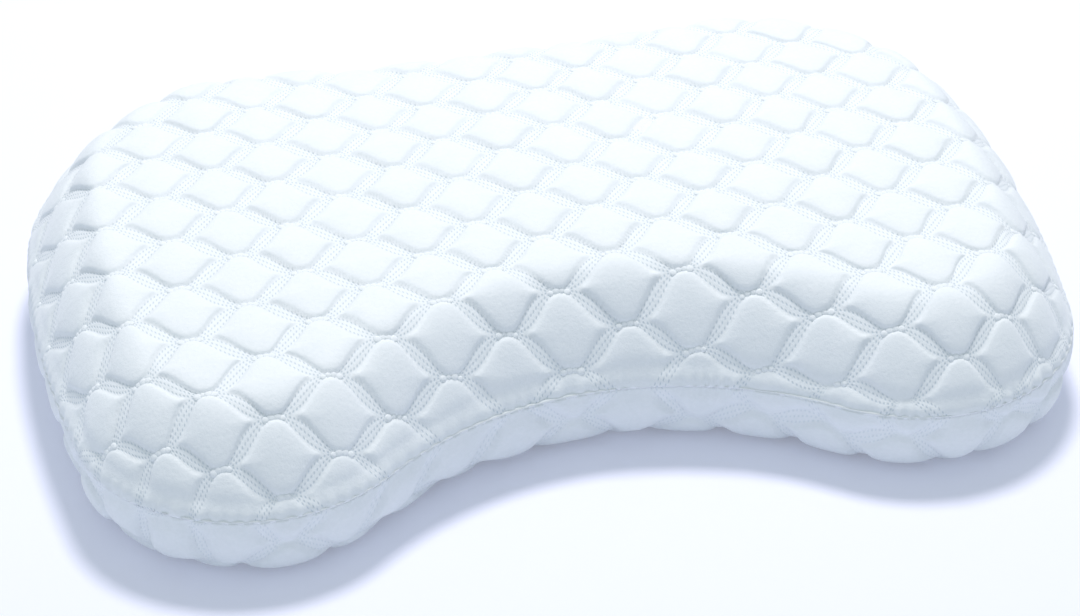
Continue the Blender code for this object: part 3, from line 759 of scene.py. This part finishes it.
bead_shifts = (-0.0047, -0.0016, 0.0016, 0.0047)
bead_offset = 0.0003
band_curl = 2.47
bead_places = []
for row in range(-12, 13):
    for column in range(-12, 13):
        if (row + column) % 2:
            continue
        for shift in bead_shifts:
            across = knot_x + column * column_pitch + shift
            curl = band_curl * row_pitch * (shift / column_pitch) ** 2
            bead_places.append((across, knot_y + row * row_pitch - curl + bead_offset, 0))
plain_cloth = cloth_material("plain_knit", 0)
bead_guide = mesh_of("bead_guide", bead_places, [])
beads = grown("knot_beads", knot_beads_tree(), bead_guide, Cloth=quilted_top, Material=plain_cloth)


# --- Side seam --------------------------------------------------------------------------
# The two panels are overlocked together with white polyester thread. The allowance lies
# flat inside, and outside only the short stitches show, deep in the joint.


def stitch_run_tree():
    tree, entry, leave = group_tree(
        "stitch run", "GeometryNodeTree",
        [("Geometry", "NodeSocketGeometry", None), ("Pitch", "NodeSocketFloat", 0.003),
         ("Stitch Length", "NodeSocketFloat", 0.0024), ("Thread Radius", "NodeSocketFloat", 0.0002),
         ("Material", "NodeSocketMaterial", None)],
        [("Geometry", "NodeSocketGeometry")],
    )
    line = add_node(tree, "GeometryNodeMeshToCurve", Mesh=entry.outputs["Geometry"])
    steps = tree.nodes.new("GeometryNodeResampleCurve")
    steps.mode = "LENGTH"
    fill(tree, steps, Curve=line.outputs[0], Length=entry.outputs["Pitch"])
    turn = tree.nodes.new("FunctionNodeAxesToRotation")
    turn.primary_axis = "Z"
    turn.secondary_axis = "X"
    tree.links.new(vector_fact(tree, "lean"), turn.inputs[0])
    tree.links.new(vector_fact(tree, "run"), turn.inputs[1])
    size = tree.nodes.new("ShaderNodeCombineXYZ")
    tree.links.new(calc(tree, "MULTIPLY", entry.outputs["Stitch Length"], 0.5), size.inputs["X"])
    for axis in ("Y", "Z"):
        tree.links.new(entry.outputs["Thread Radius"], size.inputs[axis])
    stitch = add_node(tree, "GeometryNodeMeshUVSphere", Segments=8, Rings=6, Radius=1.0)
    stitches = add_node(
        tree, "GeometryNodeInstanceOnPoints", Points=steps.outputs[0], Instance=stitch.outputs[0],
        Rotation=turn.outputs[0], Scale=size.outputs[0],
    )
    finish_tree(tree, stitches.outputs[0], entry, leave)
    return tree


def path_mesh(places, lean, run, closed=False):
    """A line of points that knows which way each stitch faces and runs."""
    count = len(places)
    mesh = bpy.data.meshes.new("path")
    edges = [(k, (k + 1) % count) for k in range(count if closed else count - 1)]
    mesh.from_pydata(np.asarray(places).tolist(), edges, [])
    for name, values in (("lean", lean), ("run", run)):
        values = np.broadcast_to(values, (count, 3)).astype(np.float32)
        mesh.attributes.new(name, "FLOAT_VECTOR", "POINT").data.foreach_set("vector", values.ravel())
    return mesh


def thread_material():
    material, tree, shader, where = new_material("polyester_thread")
    twist = noise(tree, where["Object"], 2600, 1)
    colour = blend_colours(tree, twist, (0.76, 0.81, 0.85), (0.90, 0.93, 0.95))
    fill(tree, shader, Base_Color=colour, Roughness=0.5, Sheen_Weight=0.2)
    add_bump(tree, shader, twist, 0.4, 0.0001)
    return material


stitch_inset = 0.0007
allowance_thickness = 0.0016
fold_step = 0.0016
thread = thread_material()
stitch_run = stitch_run_tree()
lip = np.array([v.co for v in quilted_top.data.vertices[: top_form["count"]]])
lip_out = top_form["outwards"]
away_from_zip = panel_gap(lip) < open_gap
last_open = int(np.flatnonzero(~away_from_zip).max())
order = (np.arange(len(lip)) + last_open + 1) % len(lip)
order = order[away_from_zip[order]]
seam_line = lip[order] - lip_out[order] * stitch_inset
seam_line[:, 2] = seam_height
seam_guide = path_mesh(seam_line, lip_out[order], (0, 0, 1))
seam_stitches = grown(
    "seam_stitches", stitch_run, seam_guide, Material=thread,
    Pitch=0.0034, Stitch_Length=0.0016, Thread_Radius=0.00018,
)

allowance_form = half_form(True, 0.004 * draft)
allowance_count = allowance_form["count"]
edge_line = allowance_form["points"][:allowance_count]
edge_out = allowance_form["outwards"]
clear = np.where(panel_gap(edge_line) > open_gap, 0.0045, 0.0012)[:, None]
allowance_rows = []
for fold in range(5):
    wave = 0.0002 * np.sin(np.arange(allowance_count) * 0.7 + fold)
    row = edge_line - edge_out * (clear + fold_step * fold)
    row[:, 2] = seam_height + wave * (fold / 4)
    allowance_rows.append(row)
allowance_quads = wall_quads(allowance_count, len(allowance_rows))
allowance_mesh = mesh_of("seam_allowance_edge", np.vstack(allowance_rows), allowance_quads)
allowance = show("seam_allowance_edge", allowance_mesh, plain_cloth)
thicken = allowance.modifiers.new("plies", "SOLIDIFY")
thicken.thickness = allowance_thickness
thicken.offset = 0
graph = bpy.context.evaluated_depsgraph_get()
allowance.data = bpy.data.meshes.new_from_object(allowance.evaluated_get(graph))
allowance.modifiers.clear()
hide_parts("seam_allowance")
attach(allowance, "pillow")
overlock_line = allowance_rows[-1] + edge_out * 0.0006
overlock_guide = path_mesh(overlock_line, (0, 0, 1), edge_out, True)
overlock = grown(
    "overlock_thread", stitch_run, overlock_guide, Material=thread,
    Pitch=0.0016, Stitch_Length=0.0030, Thread_Radius=0.0010,
)


# --- Care label -------------------------------------------------------------------------
# A small satin label, caught in the seam on one far lobe. It hangs down close to the lower
# panel, and its print is a few plain rows.

label_bearing = math.radians(68)
label_width = 0.030
label_drop = 0.024
label_tuck = 0.006


def below_seam(fall):
    """How far in the lower wall has rolled at a depth below the seam."""
    turn = np.linspace(0, math.pi / 2, 500)
    down = np.sin(turn) ** base_roll_power * seam_height
    return np.interp(fall, down, base_roll * (1 - np.cos(turn).clip(0) ** base_roll_power))


def label_material():
    material, tree, shader, where = new_material("satin_label")
    share = split_up(tree, where["UV"])
    line = calc(tree, "FRACT", calc(tree, "MULTIPLY", share["Y"], 7.0))
    inked = calc(tree, "LESS_THAN", calc(tree, "ABSOLUTE", calc(tree, "SUBTRACT", line, 0.5)), 0.16)
    letters = calc(tree, "FRACT", calc(tree, "MULTIPLY", share["X"], 19.0))
    inked = calc(tree, "MULTIPLY", inked, calc(tree, "GREATER_THAN", letters, 0.35))
    off_middle = calc(tree, "ABSOLUTE", calc(tree, "SUBTRACT", share["X"], 0.5))
    inked = calc(tree, "MULTIPLY", inked, calc(tree, "LESS_THAN", off_middle, 0.38))
    colour = blend_colours(tree, inked, (0.88, 0.89, 0.90), (0.30, 0.32, 0.36))
    fill(tree, shader, Base_Color=colour, Roughness=0.35, Sheen_Weight=0.3)
    weave = noise(tree, where["Object"], 1800)
    add_bump(tree, shader, weave, 0.2, 0.0001)
    return material


def grid_mesh(name, places):
    """A sheet through rows of points, with a UV map from 0 to 1 each way."""
    rows, columns = places.shape[:2]
    board = np.arange(rows * columns).reshape(rows, columns)
    quads = board_quads(board)
    mesh = mesh_of(name, places.reshape(-1, 3), quads)
    share = np.stack(np.meshgrid(np.linspace(0, 1, columns), np.linspace(0, 1, rows)), -1).reshape(-1, 2)
    mesh.uv_layers.new(name="UVMap").data.foreach_set("uv", share[quads].astype(np.float32).ravel())
    return mesh


around = label_bearing + np.linspace(0.5, -0.5, 21)[None, :] * label_width / far_lobe_radius
fall = np.linspace(-label_tuck, label_drop, 21)[:, None]
hung = fall.clip(0)
tucked = (-fall).clip(0)
curl = 0.0016 * (hung / label_drop) ** 2 * np.cos((around - label_bearing) * 14)
reach = far_lobe_radius - below_seam(hung) - tucked + 0.0009 * (hung > 0) + curl
label_points = np.stack([
    far_lobe[0] + reach * np.cos(around), far_lobe[1] + reach * np.sin(around),
    seam_height - 0.0001 - hung + 0 * around,
], -1)
label_sheet = show("care_label_satin", grid_mesh("care_label_satin", label_points), label_material())
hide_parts("care_label")
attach(label_sheet, "pillow")


# --- Zip --------------------------------------------------------------------------------
# A fine nylon coil zip, set into the seam along the shallow far hollow. Two woven tapes are
# sewn behind the turned edges, and each carries a coil of one filament; metal stops end it.

chain_half = 0.109
coil_pitch = 0.0014
filament_radius = 0.00022
tape_width = 0.012
tape_inset = 0.0023
stop_room = 0.0028
coil_rise = 0.00135
coil_half_height = 0.00095
coil_inset = 0.00125
coil_half_depth = 0.0004
steps_per_turn = 12


def on_far_arc(along, inwards, rise):
    """Points beside the far hollow's arc: along it, in behind the cloth, and above the seam."""
    angle = along / head_radius
    reach = head_radius + inwards
    return np.stack(np.broadcast_arrays(
        reach * np.sin(angle), head_centre[1] - reach * np.cos(angle), seam_height + rise,
    ), -1)


def tape_material():
    material, tree, shader, where = new_material("woven_tape")
    share = split_up(tree, where["UV"])
    warp = calc(tree, "SINE", calc(tree, "MULTIPLY", share["Y"], 22 * 2 * math.pi))
    twill = calc(tree, "MULTIPLY", share["Y"], 60)
    slant = calc(tree, "MULTIPLY_ADD", share["X"], 330 * 2 * math.pi, twill)
    weft = calc(tree, "SINE", slant)
    weave = calc(tree, "MULTIPLY_ADD", calc(tree, "MULTIPLY", warp, weft), 0.5, 0.5)
    colour = blend_colours(tree, weave, (0.72, 0.76, 0.80), (0.86, 0.89, 0.92))
    fill(tree, shader, Base_Color=colour, Roughness=0.75)
    add_bump(tree, shader, weave, 0.6, 0.0002)
    return material


def nylon_material():
    material, tree, shader, where = new_material("nylon_filament")
    cloud = noise(tree, where["Object"], 300, 2)
    colour = blend_colours(tree, cloud, (0.80, 0.84, 0.87), (0.90, 0.93, 0.95))
    fill(
        tree, shader, Base_Color=colour, Roughness=calc(tree, "MULTIPLY_ADD", cloud, 0.15, 0.22),
        Subsurface_Weight=0.1, Subsurface_Radius=(0.0005, 0.0005, 0.0005),
    )
    return material


def metal_material():
    material, tree, shader, where = new_material("plated_metal")
    wear = noise(tree, where["Object"], 900, 4, 0.6)
    colour = blend_colours(tree, wear, (0.66, 0.66, 0.67), (0.80, 0.80, 0.81))
    rough = calc(tree, "MULTIPLY_ADD", wear, 0.2, 0.18)
    fill(tree, shader, Base_Color=colour, Metallic=1.0, Roughness=rough)
    add_bump(tree, shader, wear, 0.08, 0.00003)
    return material


def coil_tree():
    """One filament wound along the far arc. Its turns are counted from the first vertex."""
    tree, entry, leave = group_tree(
        "coil", "GeometryNodeTree",
        [("Geometry", "NodeSocketGeometry", None), ("Half Length", "NodeSocketFloat", 0.109),
         ("Pitch", "NodeSocketFloat", 0.0014), ("Centre Rise", "NodeSocketFloat", 0.00135),
         ("Half Height", "NodeSocketFloat", 0.00098), ("Centre Depth", "NodeSocketFloat", 0.00125),
         ("Half Depth", "NodeSocketFloat", 0.0004), ("Filament Radius", "NodeSocketFloat", 0.00022),
         ("Arc Radius", "NodeSocketFloat", 0.85), ("Arc Centre", "NodeSocketFloat", 1.045),
         ("Seam Height", "NodeSocketFloat", 0.045), ("Start Angle", "NodeSocketFloat", 0.0),
         ("Steps Per Turn", "NodeSocketFloat", 12.0), ("Material", "NodeSocketMaterial", None)],
        [("Geometry", "NodeSocketGeometry")],
    )
    given = entry.outputs
    index = tree.nodes.new("GeometryNodeInputIndex").outputs[0]
    turns = calc(tree, "DIVIDE", index, given["Steps Per Turn"])
    along = calc(tree, "SUBTRACT", calc(tree, "MULTIPLY", turns, given["Pitch"]), given["Half Length"])
    wound = calc(tree, "MULTIPLY_ADD", turns, 2 * math.pi, given["Start Angle"])
    rise = calc(tree, "MULTIPLY_ADD", calc(tree, "COSINE", wound), given["Half Height"], given["Centre Rise"])
    into = calc(tree, "MULTIPLY_ADD", calc(tree, "SINE", wound), given["Half Depth"], given["Centre Depth"])
    reach = calc(tree, "ADD", given["Arc Radius"], into)
    angle = calc(tree, "DIVIDE", along, given["Arc Radius"])
    place = tree.nodes.new("ShaderNodeCombineXYZ")
    tree.links.new(calc(tree, "MULTIPLY", reach, calc(tree, "SINE", angle)), place.inputs["X"])
    drop = calc(tree, "MULTIPLY", reach, calc(tree, "COSINE", angle))
    tree.links.new(calc(tree, "SUBTRACT", given["Arc Centre"], drop), place.inputs["Y"])
    tree.links.new(calc(tree, "ADD", given["Seam Height"], rise), place.inputs["Z"])
    line = add_node(tree, "GeometryNodeMeshToCurve", Mesh=given["Geometry"])
    wound_line = add_node(tree, "GeometryNodeSetPosition", Geometry=line.outputs[0])
    fill(tree, wound_line, Position=place.outputs[0])
    profile = add_node(tree, "GeometryNodeCurvePrimitiveCircle", Resolution=6)
    fill(tree, profile, Radius=given["Filament Radius"])
    tube = add_node(
        tree, "GeometryNodeCurveToMesh", Curve=wound_line.outputs[0],
        Profile_Curve=profile.outputs[0], Fill_Caps=True,
    )
    finish_tree(tree, tube.outputs[0], entry, leave)
    return tree


tape_cloth = tape_material()
nylon = nylon_material()
metal = metal_material()
coil_group = coil_tree()
turns = round(2 * chain_half / coil_pitch)
for side, label in ((1, "upper"), (-1, "lower")):
    rise = np.linspace(0.00015, tape_width + 0.0001, 13)[:, None]
    along = np.linspace(-zip_half, zip_half, 240)[None, :]
    roll, power = (top_roll, top_roll_power) if side > 0 else (base_roll, base_roll_power)
    tall = height - seam_height if side > 0 else seam_height
    lean_in = roll * (1 - np.cos(np.arcsin((rise / tall) ** (1 / power))) ** power)
    ripple = 0.00008 * np.sin(along * 900) * (rise / tape_width)
    places = on_far_arc(along, tape_inset + 0.6 * lean_in + ripple, side * rise)
    sheet = show(f"zip_tape_{label}_woven", grid_mesh("tape", places[:: -side]), tape_cloth)
    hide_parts(f"zip_tape_{label}")
    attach(sheet, "pillow")
    line_points = np.zeros((turns * steps_per_turn + 1, 3))
    coil_guide = path_mesh(line_points, (0, 0, 1), (1, 0, 0))
    coil = grown(
        f"zip_coil_{label}_wound", coil_group, coil_guide, Material=nylon,
        Half_Length=chain_half - stop_room, Pitch=(chain_half - stop_room) * 2 / turns,
        Centre_Rise=side * coil_rise, Half_Height=side * coil_half_height,
        Centre_Depth=coil_inset, Half_Depth=coil_half_depth,
        Filament_Radius=filament_radius, Arc_Radius=head_radius, Arc_Centre=float(head_centre[1]),
        Seam_Height=seam_height, Start_Angle=0.0 if side > 0 else math.pi / 2,
        Steps_Per_Turn=float(steps_per_turn),
    )
    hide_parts(f"zip_coil_{label}")
for node in ("zip_top_stop_upper", "zip_top_stop_lower", "zip_bottom_stop", "zip_slider", "zip_pull_tab"):
    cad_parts[node].data.materials.clear()
    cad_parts[node].data.materials.append(metal)


# --- Zip topstitching -------------------------------------------------------------------
# One row of lockstitch runs beside each folded edge, and a dense bar tack closes each end
# of the opening.

for side, form, panel in ((1, top_form, quilted_top), (-1, base_form, quilted_base)):
    count = form["count"]
    level = int(np.argmin(np.abs(form["beside"][: count * 8 : count] - 0.0026)))
    picked = np.arange(level * count, (level + 1) * count)
    places = np.array([panel.data.vertices[k].co for k in picked])
    facing = normals_of(panel.data)[picked]
    chosen = (np.abs(places[:, 0]) < zip_half + 0.001) & (places[:, 1] > 0)
    in_order = np.flatnonzero(chosen)[np.argsort(places[chosen, 0])]
    places, facing = places[in_order], facing[in_order]
    run = np.gradient(places, axis=0)
    guide = path_mesh(places + facing * 0.0001, facing, run)
    label = "upper" if side > 0 else "lower"
    stitched = grown(
        f"zip_topstitch_{label}", stitch_run, guide, Material=thread,
        Pitch=0.0030, Stitch_Length=0.0026, Thread_Radius=0.00022,
    )
for side, label in ((-1, "left"), (1, "right")):
    rise = np.linspace(-0.007, 0.007, 24)
    places = on_far_arc(side * (zip_half + 0.0012), -0.0002, rise)
    guide = path_mesh(places, (0, 1, 0), (1, 0, 0))
    tack = grown(
        f"bar_tack_{label}", stitch_run, guide, Material=thread,
        Pitch=0.0005, Stitch_Length=0.0032, Thread_Radius=0.00028,
    )


# --- Camera, table and light -----------------------------------------------------------
# A pale table, a long lens from the shoulder side, a broad soft light from above and
# behind on the right, and a bright room that fills the shadows.

camera = bpy.data.objects.new("camera", bpy.data.cameras.new("camera"))
bpy.context.scene.collection.objects.link(camera)
camera.data.lens = 92.2
camera.data.sensor_width = 36
camera.data.shift_y = -0.0678
camera.location = (-0.31797, -1.31361, 0.98283)
look = Vector((0, 0, 0.06)) - camera.location
camera.rotation_euler = look.to_track_quat("-Z", "Y").to_euler()
bpy.context.scene.camera = camera

table_material, tree, shader, _ = new_material("pale_table")
fill(
    tree, shader, Base_Color=(0.75, 0.77, 0.91, 1), Roughness=0.9,
    Emission_Color=(1, 1, 1, 1), Emission_Strength=0.11,
)
table_corners = [(-8, -8, 0), (8, -8, 0), (8, 8, 0), (-8, 8, 0)]
table = show("table", mesh_of("table", table_corners, [(0, 1, 2, 3)]), table_material)


def add_light(name, place, aim, size, power, colour):
    lamp = bpy.data.lights.new(name, "AREA")
    lamp.shape = "DISK"
    lamp.size = size
    lamp.energy = power
    lamp.color = colour
    holder = bpy.data.objects.new(name, lamp)
    bpy.context.scene.collection.objects.link(holder)
    holder.location = place
    holder.rotation_euler = (Vector(aim) - Vector(place)).to_track_quat("-Z", "Y").to_euler()


add_light("key", (0.31, 0.88, 2.6), (0, 0, 0.05), 0.7, 53.5, (1.0, 0.945, 0.95))
add_light("fill", (-1.6, -1.2, 1.3), (0, 0, 0.05), 1.6, 2, (0.86, 0.92, 1.0))

room = bpy.data.worlds.new("room")
room.use_nodes = True
sky = room.node_tree.nodes["Background"]
fill(room.node_tree, sky, Color=(0.85, 0.955, 1.0, 1), Strength=0.56)
bpy.context.scene.world = room
bpy.context.scene.view_settings.view_transform = "Standard"
